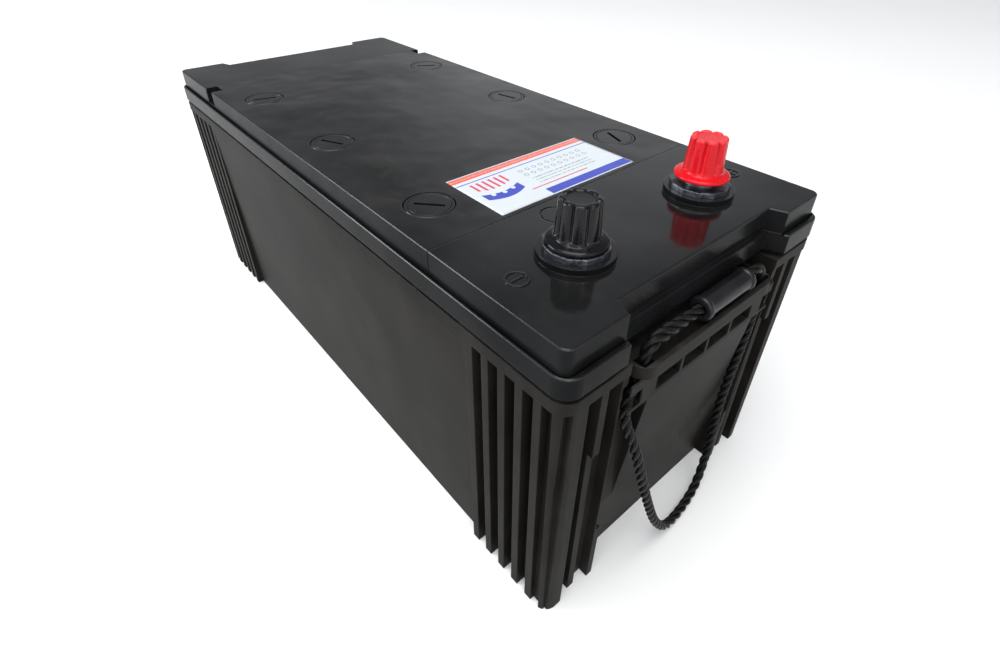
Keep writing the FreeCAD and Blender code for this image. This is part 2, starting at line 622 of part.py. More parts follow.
def make_lid():
    shell = new_body("lid_shell")
    ditch_foot = "ledge_top - ditch_depth"
    skirt = outline(shell, "lid_skirt", "XY_Plane", rectangle("lid_length", "lid_width"), "skirt_foot")
    pad(shell, skirt, "ledge_top - skirt_foot")
    ditch = rectangle("deck_length + 2 * ditch_width", "deck_width + 2 * ditch_width")
    dug = pocket(shell, outline(shell, "lid_ditch", "XY_Plane", ditch, "ledge_top"), "ditch_depth")
    low, middle, high = size("skirt_foot"), size(ditch_foot), size("ledge_top")
    eased = round_edges(shell, dug, lambda edge: upright(edge) and spans_levels(edge, middle, high),
                        "deck_corner + ditch_width")
    round_edges(shell, eased, lambda edge: upright(edge) and spans_levels(edge, low, high), "lid_corner")
    deck = new_body("lid_deck_body")
    block_with_round_corners(deck, "lid_deck", "deck_length", "deck_width", "deck_corner", ditch_foot,
                             f"deck_top - ({ditch_foot})")
    half = "(neck_length / 2 + seat_gap)"
    side = "(neck_width / 2 + seat_gap)"
    back = "(recess_wall + seat_gap)"
    edge = "(panel_half - seat_gap)"
    quarter = [(back, f"-{edge}"), (half, f"-{edge}"), (half, f"-{side}")]
    inside = ([(x, y) for x, y in quarter] + [(f"-{x}", y) for x, y in reversed(quarter)]
              + [(f"-{x}", y[1:]) for x, y in quarter] + [(x, y[1:]) for x, y in reversed(quarter)])
    hollow = outline(shell, "lid_inside", "XY_Plane", inside, "skirt_foot")
    pocket(shell, hollow, "neck_top - skirt_foot", True)
    openings = [box("cover_bay", (("bay_back - seam", "bay_front + seam"),
                                  ("-deck_width / 2 - 1", "deck_width / 2 + 1"),
                                  ("ledge_top", "deck_top + 1")))]
    for end, where in ENDS:
        openings.append(prism(f"deck_cutout_{where}", notch_outline("deck_notch", end), "ledge_top",
                              "deck_top - ledge_top + 1"))
        openings.append(prism(f"skirt_cutout_{where}", notch_outline("skirt_notch", end), "skirt_foot - 1",
                              "deck_top - skirt_foot + 2"))
    open_lid = cut("lid_open", fuse("lid_closed", [shell, deck]), openings)
    deck_height = size("deck_top")
    ledge_height = size("ledge_top")
    front, rear = size("bay_front") + 2, size("bay_back") - 2
    ledge_x, ledge_y = size("deck_length") / 2 + 2, size("deck_width") / 2 + 1.5

    def outer_top(edge):
        heights = {round(vertex.Point.z, 3) for vertex in edge.Vertexes}
        middle = edge.CenterOfMass
        on_deck = heights == {deck_height} and (middle.x > front or middle.x < rear)
        on_skirt = heights == {ledge_height} and (abs(middle.x) > ledge_x or abs(middle.y) > ledge_y)
        return on_deck or on_skirt

    soft = soften("lid_soft", open_lid, outer_top, "soft_edge")
    added = []
    removed = []
    boss = "deck_top - head_height - 2 * seal_wire - ledge_top"
    for i, (x, y) in enumerate(plug_places(), 1):
        added.append(cylinder(f"plug_boss_{i}", "plug_head", boss, x, y, "ledge_top"))
        removed.append(cylinder(f"plug_bore_{i}", "plug_shank + 0.3", f"{BIG}", x, y, "neck_top - 5"))
    for side in (-1, 1):
        tag = "positive" if side > 0 else "negative"
        y = f"{side} * terminal_y"
        added.append(cylinder(f"disc_{tag}", "boss_radius", "boss_height", "terminal_x", y, "deck_top"))
        removed.append(cylinder(f"bush_bore_{tag}", "post_radius + 2.5", f"{BIG}", "terminal_x", y,
                                "neck_top - 5"))
        added += polarity_mark(side, tag)
    disc = cylinder("round_groove_disc", "groove_ring", "mark_height + 1", "groove_x", "groove_y",
                    "deck_top - mark_height")
    core = cylinder("round_groove_core", "groove_ring - mark_width", "mark_height + 2", "groove_x", "groove_y",
                    "deck_top - mark_height - 0.5")
    removed.append(cut("round_groove", disc, [core]))
    return node(cut("lid", fuse("lid_full", [soft] + added), removed), "lid")


def polarity_mark(side, tag):
    """A raised ring with a plus or a minus in it."""
    y = f"{side} * mark_y"
    disc = cylinder(f"mark_disc_{tag}", "mark_ring", "mark_height", "mark_x", y, "deck_top")
    hole = cylinder(f"mark_hole_{tag}", "mark_ring - mark_width", "3 * mark_height", "mark_x", y,
                    "deck_top - mark_height")
    ring = cut(f"mark_ring_{tag}", disc, [hole])
    reach = "(mark_ring - 2.4 * mark_width)"
    rise = ("deck_top", "deck_top + mark_height")
    bars = [box(f"mark_bar_{tag}", (("mark_x - mark_width / 2", "mark_x + mark_width / 2"),
                                    (f"{y} - {reach}", f"{y} + {reach}"), rise))]
    if side > 0:
        bars.append(box(f"mark_stroke_{tag}", ((f"mark_x - {reach}", f"mark_x + {reach}"),
                                               (f"{y} - mark_width / 2", f"{y} + mark_width / 2"), rise)))
    return [ring] + bars


# ---------------------------------------------------------------- vent cover, plugs and label

def make_cover():
    """A shallow tray turned over, the full width of the deck, with a gas outlet in each long edge."""
    shell = new_body("cover_shell")
    width = "deck_width"
    middle = "(bay_front + bay_back) / 2"
    plate = outline(shell, "cover_plate", "XY_Plane", rectangle("bay_front - bay_back", width), "ledge_top",
                    middle)
    pad(shell, plate, "deck_top - ledge_top")
    hollow = rectangle("bay_front - bay_back - 2 * cover_skin", f"{width} - 2 * cover_skin")
    pocket(shell, outline(shell, "cover_inside", "XY_Plane", hollow, "ledge_top", middle),
           "deck_top - ledge_top - cover_skin", True)
    doc.recompute()
    reach = size("deck_width") / 2 - 0.01
    top = size("deck_top")

    def long_top(edge):
        return abs(edge.CenterOfMass.z - top) < 0.01 and abs(edge.CenterOfMass.y) > reach

    soft = soften("cover_soft", shell, long_top, "soft_edge")
    removed = []
    blocks = [soft]
    removed += [cylinder(f"cover_hole_{i}", "plug_head + plug_play", "2 * cover_skin + 2", x, y,
                        "deck_top - 2 * cover_skin") for i, (x, y) in enumerate(plug_places(), 1)]
    for side in (1, -1):
        where = "left" if side > 0 else "right"
        inner = "deck_width / 2 - outlet_depth"
        blocks.append(box(f"outlet_block_{where}", (
            ("outlet_start - cover_skin + 1.2", "outlet_start + outlet_length + 2"),
            flip((f"{inner} - arrestor_depth", "deck_width / 2 - 1"), side), ("ledge_top", "deck_top - 1"))))
        removed.append(box(f"outlet_{where}", (
            ("outlet_start", "outlet_start + outlet_length"),
            flip((inner, "deck_width / 2 + 1"), side), ("ledge_top + 2", "deck_top + 1"))))
        removed.append(arrestor(f"arrestor_bore_{where}", side))
    node(cut("vent_cover", fuse("cover_full", blocks), removed), "vent_cover")
    for side, where in ((1, "left"), (-1, "right")):
        node(arrestor(f"flame_arrestor_{where}", side), f"flame_arrestor_{where}")


def arrestor(name, side):
    """The round space of a porous disc behind a gas outlet."""
    disc = doc.addObject("Part::Cylinder", name)
    bind(disc, Radius="arrestor_radius", Height="arrestor_depth")
    disc.Placement.Rotation = FreeCAD.Rotation(FreeCAD.Vector(1, 0, 0), 90 * side)
    return place(disc, "outlet_start + outlet_length / 2", f"{side} * (deck_width / 2 - outlet_depth)",
                 "ledge_top + 7.5")


def make_plugs():
    for i, (x, y) in enumerate(plug_places(), 1):
        plug = new_body(f"plug_turned_{i}")
        head_foot = "deck_top - head_height"
        profile = [("0", "shank_foot"), ("plug_shank", "shank_foot"), ("plug_shank", head_foot),
                   ("plug_head", head_foot), ("plug_head", "deck_top - 0.6"), ("plug_head - 0.6", "deck_top"),
                   ("plug_head - 2.0", "deck_top"), ("plug_head - 2.3", "deck_top - 0.5"),
                   ("plug_head - 2.6", "deck_top"), ("0", "deck_top")]
        spin(plug, outline(plug, f"plug_profile_{i}", "XZ_Plane", profile))
        place(plug, x, y, "0")
        slot = doc.addObject("Part::Box", f"coin_slot_{i}")
        bind(slot, Length="slot_length", Width="slot_width", Height="slot_depth + 1")
        turn = math.radians(PLUG_TURNS[i - 1])
        slot.Placement.Rotation = FreeCAD.Rotation(FreeCAD.Vector(0, 0, 1), PLUG_TURNS[i - 1])
        across, along = math.cos(turn), math.sin(turn)
        place(slot, f"{x} - slot_length / 2 * {across} + slot_width / 2 * {along}",
              f"{y} - slot_length / 2 * {along} - slot_width / 2 * {across}", "deck_top - slot_depth")
        node(cut(f"vent_plug_{i}", plug, [slot]), f"vent_plug_{i}")
        seal = doc.addObject("Part::Torus", f"plug_seal_{i}")
        bind(seal, Radius1="plug_shank + seal_wire + 0.1", Radius2="seal_wire - 0.02")
        place(seal, x, y, "deck_top - head_height - seal_wire")
        node(seal, f"plug_seal_{i}")


def make_label():
    film = box("label", (("label_start", "label_start + label_length"), ("-label_half", "label_half"),
                         ("deck_top", "deck_top + label_thickness")))
    node(film, "label")


# ---------------------------------------------------------------- terminals

def make_terminals():
    for side, tag, slimmer, lifted in ((1, "positive", "0", "cap_lift"), (-1, "negative", "slimmer", "0")):
        y = f"{side} * terminal_y"
        disc_top = "deck_top + boss_height"
        seat = f"{disc_top} + bush_height"
        bush = new_body(f"bush_{tag}")
        angles = [2 * math.pi * i / FACETS for i in range(FACETS)]
        ring = [(f"bush_radius * {math.cos(angle)}", f"bush_radius * {math.sin(angle)}") for angle in angles]
        pad(bush, outline(bush, f"bush_ring_{tag}", "XY_Plane", ring, disc_top), "bush_height")
        place(bush, "terminal_x", y, "0")
        sleeve = cylinder(f"bush_sleeve_{tag}", "post_radius + 2.5", f"{disc_top} - neck_top + 2", "terminal_x",
                          y, "neck_top - 2")
        bore = cylinder(f"bush_hollow_{tag}", f"post_radius - {slimmer}", f"{BIG}", "terminal_x", y,
                        "neck_top - 10")
        full = fuse(f"bush_full_{tag}", [bush, sleeve])
        node(cut(f"terminal_bushing_{tag}", full, [bore]), f"terminal_bushing_{tag}")

        post = new_body(f"post_{tag}")
        start = "strap_foot + strap_thickness"
        wide, slim = f"post_radius - {slimmer}", f"post_tip - {slimmer}"
        profile = [("0", start), (wide, start), (wide, seat), (slim, f"{seat} + post_height - 1"),
                   (f"{slim} - 1", f"{seat} + post_height"), ("0", f"{seat} + post_height")]
        spin(post, outline(post, f"post_profile_{tag}", "XZ_Plane", profile))
        place(post, "terminal_x", y, "0")
        node(post, f"terminal_post_{tag}")

        make_cap(tag, y, f"{seat} + cap_gap + {lifted}", slimmer)


def make_cap(tag, y, foot, slimmer):
    """A soft cap: flange, tapered body with flutes, and a shallow dish in the top."""
    cap = new_body(f"cap_turned_{tag}")
    top = f"{foot} + cap_height"
    inner = f"post_radius - {slimmer} + 0.3"
    profile = [(inner, foot), ("cap_flange - 0.8", foot), ("cap_flange", f"{foot} + 0.8"),
               ("cap_flange", f"{foot} + 1.8"), ("cap_flange - 1.2", f"{foot} + 2.6"),
               ("cap_body + 0.8", f"{foot} + 3.0"), ("cap_body", f"{foot} + 4.0"),
               ("cap_tip", f"{top} - 1.4"), ("cap_tip - 0.9", top), ("cap_tip - 2.2", top),
               ("cap_tip - 2.8", f"{top} - 1.2"), ("0", f"{top} - 1.2"), ("0", f"{foot} + post_height + 1.4"),
               (f"post_tip - {slimmer} - 0.4", f"{foot} + post_height + 1.4"),
               (f"post_tip - {slimmer} + 0.3", f"{foot} + post_height")]
    spin(cap, outline(cap, f"cap_profile_{tag}", "XZ_Plane", profile))
    place(cap, "terminal_x", y, "0")
    flutes = []
    for i in range(FLUTES):
        angle = 2 * math.pi * (i + 0.5) / FLUTES
        ring = "(cap_body + flute_radius - flute_depth)"
        flute = doc.addObject("Part::Cone", f"flute_{tag}_{i + 1}")
        bind(flute, Radius1="flute_radius", Radius2="flute_radius + cap_body - cap_tip",
             Height="cap_height - 7.6")
        flutes.append(place(flute, f"terminal_x + {ring} * {math.cos(angle)}",
                            f"{y} + {ring} * {math.sin(angle)}", f"{foot} + 4.6"))
    node(cut(f"terminal_cap_{tag}", cap, flutes), f"terminal_cap_{tag}")


# ---------------------------------------------------------------- rope handles

def rope_path(points):
    """Straight runs joined by tangent arcs, each as large as its two runs allow."""
    corners = [FreeCAD.Vector(*point) for point in points]
    edges = []
    radii = []
    start = corners[0]
    for before, corner, after in zip(corners, corners[1:], corners[2:]):
        back = before - corner
        ahead = after - corner
        reach = 0.45 * min(back.Length, ahead.Length)
        back.normalize()
        ahead.normalize()
        half_turn = (math.pi - back.getAngle(ahead)) / 2
        radius = reach / math.tan(half_turn)
        inward = back + ahead
        inward.normalize()
        first = corner + back * reach
        last = corner + ahead * reach
        middle = corner + inward * (radius / math.cos(half_turn) - radius)
        edges.append(Part.LineSegment(start, first).toShape())
        edges.append(Part.Arc(first, middle, last).toShape())
        radii.append(radius)
        start = last
    edges.append(Part.LineSegment(start, corners[-1]).toShape())
    return Part.Wire(edges), radii


def tube(path, radius):
    """A round tube along a wire, as one solid."""
    first = path.Edges[0]
    along = first.tangentAt(first.FirstParameter)
    section = Part.Wire([Part.Circle(first.valueAt(first.FirstParameter), along, radius).toShape()])
    return path.makePipeShell([section], True, False)


def rope_piece(name, points, end):
    """One stretch of rope; the rear handle is the front one turned half round the vertical axis."""
    path, radii = rope_path(points)
    shape = tube(path, size("rope_radius"))
    expected = math.pi * size("rope_radius") ** 2 * path.Length
    print(f"{name}: length {path.Length:.1f} mm, radii {min(radii):.1f} to {max(radii):.1f} mm, "
          f"volume over section times length {shape.Volume / expected:.4f}")
    print("  radii " + " ".join(f"{radius:.0f}" for radius in radii))
    item = doc.addObject("Part::Feature", name)
    item.Shape = shape
    turn = FreeCAD.Rotation(FreeCAD.Vector(0, 0, 1), 0 if end > 0 else 180)
    item.Placement = FreeCAD.Placement(FreeCAD.Vector(), turn)
    return node(item, name)


def grip_route():
    """The upper stretch of the rope: up out of one hole, through the sleeve and down the other hole."""
    x, y, level = size("rope_x"), size("rope_y"), size("grip_z")
    along, foot = size("grip_x"), size("rope_joint")
    reach = size("grip_length") / 2 + 4
    middle = size("grip_middle")
    low, high = middle - reach, middle + reach
    slack = ((x + along) / 2, (low - y) / 2, level + 1)
    return ((x, -y, foot), (x, -y, level), slack, (along, low, level), (along, middle, level + 0.3),
            (along, high, level), (x, y, level), (x, y, foot))


def make_handles():
    for end, where in ENDS:
        sleeve = new_body(f"grip_turned_{where}")
        half = "grip_length / 2"
        profile = [("grip_bore", f"-{half}"), ("grip_rim - 0.7", f"-{half}"), ("grip_rim", f"-{half} + 0.9"),
                   ("grip_rim", f"-{half} + rim_width_grip - 0.9"),
                   ("grip_radius", f"-{half} + rim_width_grip"), ("grip_radius", f"{half} - rim_width_grip"),
                   ("grip_rim", f"{half} - rim_width_grip + 0.9"),
                   ("grip_rim", f"{half} - 0.9"), ("grip_rim - 0.7", half), ("grip_bore", half)]
        spin(sleeve, outline(sleeve, f"grip_profile_{where}", "XZ_Plane", profile))
        sleeve.Placement.Rotation = FreeCAD.Rotation(FreeCAD.Vector(1, 0, 0), 90)
        place(sleeve, f"{end} * grip_x", f"{end} * grip_middle", "grip_z")
        node(sleeve, f"handle_grip_{where}")

        rope_piece(f"handle_rope_{where}", grip_route(), end)
        risers = [cylinder(f"riser_{where}_{i}", "rope_radius", "rope_joint - rope_slope", f"{end} * rope_x",
                           f"{side} * rope_y", "rope_slope") for i, side in enumerate((1, -1), 1)]
        pair = doc.addObject("Part::Compound", f"rope_risers_{where}")
        pair.Links = risers
        node(pair, f"rope_risers_{where}")
        rope_piece(f"hanging_rope_{where}", ROPE_ROUTE, end)


# ---------------------------------------------------------------- build, check and write

make_case()
make_lid()
make_cover()
make_plugs()
make_label()
make_terminals()
make_cells()
make_handles()
doc.recompute()

faults = [f"{item.Label}: {item.State}" for item in doc.Objects if {"Invalid", "Error"} & set(item.State)]
faults += [f"{item.Label}: bad shape" for item in nodes if item.Shape.isNull() or not item.Shape.isValid()]
if faults:
    raise RuntimeError("; ".join(faults))

os.makedirs("parts", exist_ok=True)
for item in nodes:
    item.Shape.exportStep(f"parts/{item.Label}.step")
    print(f"{item.Label}: {len(item.Shape.Solids)} solid(s), {item.Shape.Volume / 1000:.1f} cm3")
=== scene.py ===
import math

import bpy
import numpy as np
from mathutils import Matrix, Vector


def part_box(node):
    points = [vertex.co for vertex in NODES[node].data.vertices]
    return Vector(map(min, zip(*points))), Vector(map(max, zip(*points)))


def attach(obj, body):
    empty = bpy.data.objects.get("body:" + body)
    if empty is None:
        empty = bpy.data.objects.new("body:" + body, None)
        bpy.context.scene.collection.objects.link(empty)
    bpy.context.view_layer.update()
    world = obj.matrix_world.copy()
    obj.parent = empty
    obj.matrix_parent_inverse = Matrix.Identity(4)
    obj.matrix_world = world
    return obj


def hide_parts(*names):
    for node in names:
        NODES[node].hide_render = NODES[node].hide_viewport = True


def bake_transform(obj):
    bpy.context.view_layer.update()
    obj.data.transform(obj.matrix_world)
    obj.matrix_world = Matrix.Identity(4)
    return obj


bl_info = {
    "name": "Rope Handle Battery",
    "version": (1, 0, 0),
    "blender": (4, 5, 0),
    "location": "View3D > Sidebar > Battery",
    "description": "Finishes a battery's frame: plastic, lead, caps, printed label and twisted rope handles",
    "category": "Object",
}

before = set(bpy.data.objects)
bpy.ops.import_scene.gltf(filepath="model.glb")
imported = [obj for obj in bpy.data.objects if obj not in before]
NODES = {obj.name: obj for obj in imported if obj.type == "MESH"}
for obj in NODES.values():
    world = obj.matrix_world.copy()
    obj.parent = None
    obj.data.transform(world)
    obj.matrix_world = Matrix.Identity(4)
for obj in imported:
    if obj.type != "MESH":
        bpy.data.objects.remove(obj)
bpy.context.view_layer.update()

MM = 0.001
ENDS = ((1, "front"), (-1, "rear"))
POLES = ("positive", "negative")
CELLS = range(1, 7)
CELL_LINKS = range(1, 6)

# The rope's routes at the front end, in metres. The rear handle is the same, turned half round Z.
GRIP_ROUTE = (
    (0.2505, -0.0540, 0.1630), (0.2505, -0.0540, 0.1820), (0.25075, -0.03375, 0.1830),
    (0.2510, -0.0135, 0.1820), (0.2510, 0.0125, 0.1823), (0.2510, 0.0385, 0.1820),
    (0.2505, 0.0540, 0.1820), (0.2505, 0.0540, 0.1630),
)
HANGING_ROUTE = (
    (0.2505, -0.0540, 0.1630), (0.2505, -0.0540, 0.1585), (0.2505, -0.0616, 0.1495),
    (0.2526, -0.0620, 0.1370), (0.2570, -0.0565, 0.1210), (0.2600, -0.0515, 0.1020),
    (0.2620, -0.0450, 0.0800), (0.2638, -0.0365, 0.0550), (0.2652, -0.0250, 0.0270),
    (0.2658, -0.0090, 0.0055), (0.2646, 0.0120, 0.0045), (0.2615, 0.0315, 0.0065),
    (0.2575, 0.0445, 0.0215), (0.2545, 0.0505, 0.0440), (0.2526, 0.0520, 0.0670),
    (0.2518, 0.0550, 0.0900), (0.2514, 0.0595, 0.1130), (0.2508, 0.0634, 0.1360),
    (0.2505, 0.0624, 0.1495), (0.2505, 0.0540, 0.1585), (0.2505, 0.0540, 0.1630),
)

# A strand of the rope, as shares of the rope's diameter: how far its centre lies from the rope's line,
# and its radius.
STRANDS = 3
STRAND_OFFSET = 0.268
STRAND_RADIUS = 0.236

# The camera: its place in metres, its right and up directions, its lens in millimetres and its upward shift.
CAMERA_PLACE = (0.3569, -0.2372, 0.3642)
CAMERA_RIGHT = Vector((0.6505, 0.7594, 0.0120))
CAMERA_UP = Vector((-0.4315, 0.3565, 0.8287))
CAMERA_LENS = 20.62
CAMERA_SHIFT = -0.0607

# The soft lights: name, place and size in metres, share of the power setting, and colour.
LIGHTS = (
    ("overhead", (0.35, -0.45, 2.3), 1.7, 1.0, (1.0, 0.99, 0.97)),
    ("left", (-1.7, -1.7, 1.0), 1.1, 1.1, (0.96, 0.98, 1.0)),
    ("right", (1.9, -1.3, 0.9), 0.5, 0.12, (1.0, 0.97, 0.92)),
)
FLOOR_HALF = 4.0

# Directions in which the room is brighter: one patch of wall, and the wide side with the windows.
BRIGHT_WALL = Vector((-0.62, 0.72, 0.31)).normalized()
WINDOWS = Vector((0.55, -0.75, 0.35)).normalized()

PLASTIC_IOR = 1.5
DUST = (0.20, 0.185, 0.165)


# ------------------------------------------------------------------ shader maths

class Wire:
    """One output in a material's node tree. Arithmetic on it adds Math nodes."""

    def __init__(self, paint, socket):
        self.paint = paint
        self.socket = socket

    def maths(self, operation, *others):
        """A Math node on this value and the others."""
        return self.paint.add("ShaderNodeMath", (self,) + others, operation=operation)

    def __add__(self, other):
        return self.maths("ADD", other)

    __radd__ = __add__

    def __mul__(self, other):
        return self.maths("MULTIPLY", other)

    __rmul__ = __mul__

    def __sub__(self, other):
        return self.maths("SUBTRACT", other)

    def __rsub__(self, other):
        return self.paint.add("ShaderNodeMath", (other, self), operation="SUBTRACT")

    def __truediv__(self, other):
        return self.maths("DIVIDE", other)

    def least(self, other):
        return self.maths("MINIMUM", other)

    def most(self, other):
        return self.maths("MAXIMUM", other)

    def rise(self, low, high):
        """0 below low, 1 above high, smooth between; high may be the lower one."""
        if low > high:
            return 1 - self.rise(high, low)
        inputs = (self, low, high, 0.0, 1.0)
        return self.paint.add("ShaderNodeMapRange", inputs, interpolation_type="SMOOTHSTEP")

    def band(self, low, high, soft=0.12):
        """1 between low and high, with soft edges."""
        return self.rise(low - soft, low + soft) * self.rise(high + soft, high - soft)


class Paint:
    """A procedural material: nodes in millimetres of the object's frame, and a Principled shader."""

    def __init__(self, name):
        self.material = bpy.data.materials.new(name)
        self.material.use_nodes = True
        self.tree = self.material.node_tree
        self.tree.nodes.clear()
        self.output = self.tree.nodes.new("ShaderNodeOutputMaterial")
        self.shader = self.tree.nodes.new("ShaderNodeBsdfPrincipled")
        self.tree.links.new(self.shader.outputs[0], self.output.inputs[0])
        where = self.tree.nodes.new("ShaderNodeTexCoord")
        self.place = self.add("ShaderNodeMapping", (Wire(self, where.outputs["Object"]),),
                              Scale=(1 / MM, 1 / MM, 1 / MM))
        parts = self.tree.nodes.new("ShaderNodeSeparateXYZ")
        self.tree.links.new(self.place.socket, parts.inputs[0])
        self.x, self.y, self.z = (Wire(self, output) for output in parts.outputs)

    def add(self, kind, inputs=(), output=0, **settings):
        """Adds a node. Inputs go in by order; a setting with a capital letter is an input by name."""
        node = self.tree.nodes.new(kind)
        for name, value in settings.items():
            if name[0].isupper():
                self.feed(node.inputs[name.replace("_", " ")], value)
            else:
                setattr(node, name, value)
        for socket, value in zip(node.inputs, inputs):
            self.feed(socket, value)
        return Wire(self, node.outputs[output])

    def feed(self, socket, value):
        if isinstance(value, Wire):
            self.tree.links.new(value.socket, socket)
        else:
            socket.default_value = value

    def stretched(self, x, y, z):
        """The place in millimetres, scaled along each axis."""
        return self.add("ShaderNodeVectorMath", (self.place, (x, y, z)), operation="MULTIPLY")

    def noise(self, scale, detail=3.0, roughness=0.5, vector=None, distortion=0.0):
        """Smooth noise from 0 to 1 with scale features per millimetre."""
        return self.add("ShaderNodeTexNoise", Vector=vector or self.place, Scale=scale, Detail=detail,
                        Roughness=roughness, Distortion=distortion)

    def specks(self, scale, radius, vector=None):
        """1 in small round spots, one to a cell, 0 between them."""
        distance = self.add("ShaderNodeTexVoronoi", Vector=vector or self.place, Scale=scale)
        return distance.rise(radius, radius * 0.4)

    def blend(self, factor, first, second):
        """A colour between first, at factor 0, and second."""
        node = self.tree.nodes.new("ShaderNodeMix")
        node.data_type = "RGBA"
        self.feed(node.inputs[0], factor)
        for socket, colour in zip((node.inputs[6], node.inputs[7]), (first, second)):
            self.feed(socket, colour if isinstance(colour, Wire) else tuple(colour) + (1.0,))
        return Wire(self, node.outputs[2])

    def bump(self, height, distance, normal=None):
        """Relief from a height of 0 to 1 that stands for distance millimetres."""
        settings = {"Height": height, "Distance": distance * MM, "Strength": 1.0}
        if normal is not None:
            settings["Normal"] = normal
        return self.add("ShaderNodeBump", **settings)

    def edges(self, radius):
        """The surface's normal with its edges rounded by a radius in millimetres."""
        return self.add("ShaderNodeBevel", Radius=radius * MM, samples=4)

    def finish(self, **settings):
        """Sets or links the shader's own sockets by name and returns the material."""
        for name, value in settings.items():
            self.feed(self.shader.inputs[name.replace("_", " ")], value)
        return self.material


# ------------------------------------------------------------------ materials

def moulded(name, colour, gloss, shine, wall_shine, grain=0.0, wave=0.0, streak=0.0, dust=0.0, edge=0.5):
    """Moulded plastic: colour drift, flow streaks, grain, fine rubs, and dust on the faces that look up.

    gloss is the roughness, shine the specular level of the faces that look up, and wall_shine that of
    the duller walls. grain, wave and edge are reliefs and an edge radius in millimetres."""
    paint = Paint(name)
    drift = paint.noise(0.02, 4.0)
    fine = paint.noise(1.6, 2.0, 0.6)
    cloud = paint.noise(0.045, 5.0, 0.62, distortion=0.6)
    rubs = paint.noise(0.5, 3.0, 0.7, paint.stretched(0.25, 1.0, 0.08)).rise(0.62, 0.8)
    flow = paint.noise(0.12, 3.0, 0.55, paint.stretched(1.0, 1.0, 0.03))
    motes = paint.specks(0.35, 0.22) * paint.noise(0.08, 2.0).rise(0.48, 0.66)
    geometry = paint.add("ShaderNodeNewGeometry", output=1)
    facing = paint.add("ShaderNodeSeparateXYZ", (geometry,), output=2)
    up = facing.rise(0.5, 0.95)
    settled = (cloud.rise(0.45, 0.8) * 0.55 + motes * 0.8) * up * dust
    pale = tuple(c * 1.8 + 0.008 for c in colour)
    worn = drift.rise(0.3, 0.7) * 0.5 + rubs * 0.25 + flow.rise(0.4, 0.75) * streak
    shade = paint.blend(worn, colour, pale)
    shade = paint.blend(settled * 0.6, shade, DUST)
    rough = (gloss + (1 - up) * 0.10 + (drift - 0.5) * 0.05 + rubs * 0.08 + settled * 0.45
             + (fine - 0.5) * 0.04 + (flow - 0.5) * streak * 0.2)
    normal = paint.edges(edge)
    if wave:
        normal = paint.bump(paint.noise(0.018, 2.0, 0.4), wave, normal)
    if grain:
        normal = paint.bump(paint.noise(3.0, 2.0, 0.65), grain, normal)
    look = {"Base_Color": shade, "Roughness": rough.most(0.03), "Normal": normal, "IOR": PLASTIC_IOR}
    paint.finish(Specular_IOR_Level=shine, **look)
    glossy = Wire(paint, paint.shader.outputs[0])
    dull = paint.add("ShaderNodeBsdfPrincipled", Specular_IOR_Level=wall_shine, **look)
    both = paint.add("ShaderNodeMixShader", (facing.rise(0.10, 0.55), dull, glossy))
    paint.feed(paint.output.inputs[0], both)
    return paint.material


def cast_lead():
    """Cast lead, smooth and dulled: dark blue-grey metal with soft blotches and a few bright nicks."""
    paint = Paint("cast_lead")
    blotch = paint.noise(0.18, 4.0, 0.6, distortion=0.6)
    nicks = paint.specks(0.5, 0.12)
    shade = paint.blend(blotch.rise(0.35, 0.7), (0.09, 0.10, 0.12), (0.26, 0.28, 0.31))
    shade = paint.blend(nicks * 0.6, shade, (0.62, 0.64, 0.68))
    rough = 0.18 + blotch * 0.22
    normal = paint.bump(blotch, 0.35, paint.edges(0.8))
    return paint.finish(Base_Color=shade, Roughness=rough, Metallic=0.95, Normal=normal)


def soft_cap(name, colour, crown_colour, gloss, top):
    """Soft vinyl: paler on the crown, with smears and a fine orange-peel skin."""
    paint = Paint(name)
    smear = paint.noise(0.25, 4.0, 0.6, distortion=0.5)
    # The colour turns paler over the top 2 mm of the cap, its crown, and a little where the smears are.
    paler_share = paint.z.rise(top - 2.0, top + 0.5) * 0.55 + smear.rise(0.5, 0.8) * 0.15
    shade = paint.blend(paler_share, colour, crown_colour)
    fleck = tuple(min(1.0, c + 0.2) for c in crown_colour)
    shade = paint.blend(paint.specks(0.9, 0.13) * 0.25, shade, fleck)
    rough = gloss + (smear - 0.5) * 0.16 + paler_share * 0.12
    normal = paint.bump(paint.noise(1.4, 2.0), 0.05)
    return paint.finish(Base_Color=shade, Roughness=rough, Normal=normal, IOR=PLASTIC_IOR,
                        Specular_IOR_Level=0.26)


def spot(paint, u, v, row, column, outer, inner=0.0):
    """A printed ring, or a dot where inner is 0, round a place on the label."""
    across = u - row
    along = v - column
    distance = (across * across + along * along).maths("SQRT")
    disc = distance.rise(outer + 0.15, outer - 0.15)
    return disc * distance.rise(inner - 0.15, inner + 0.15) if inner else disc


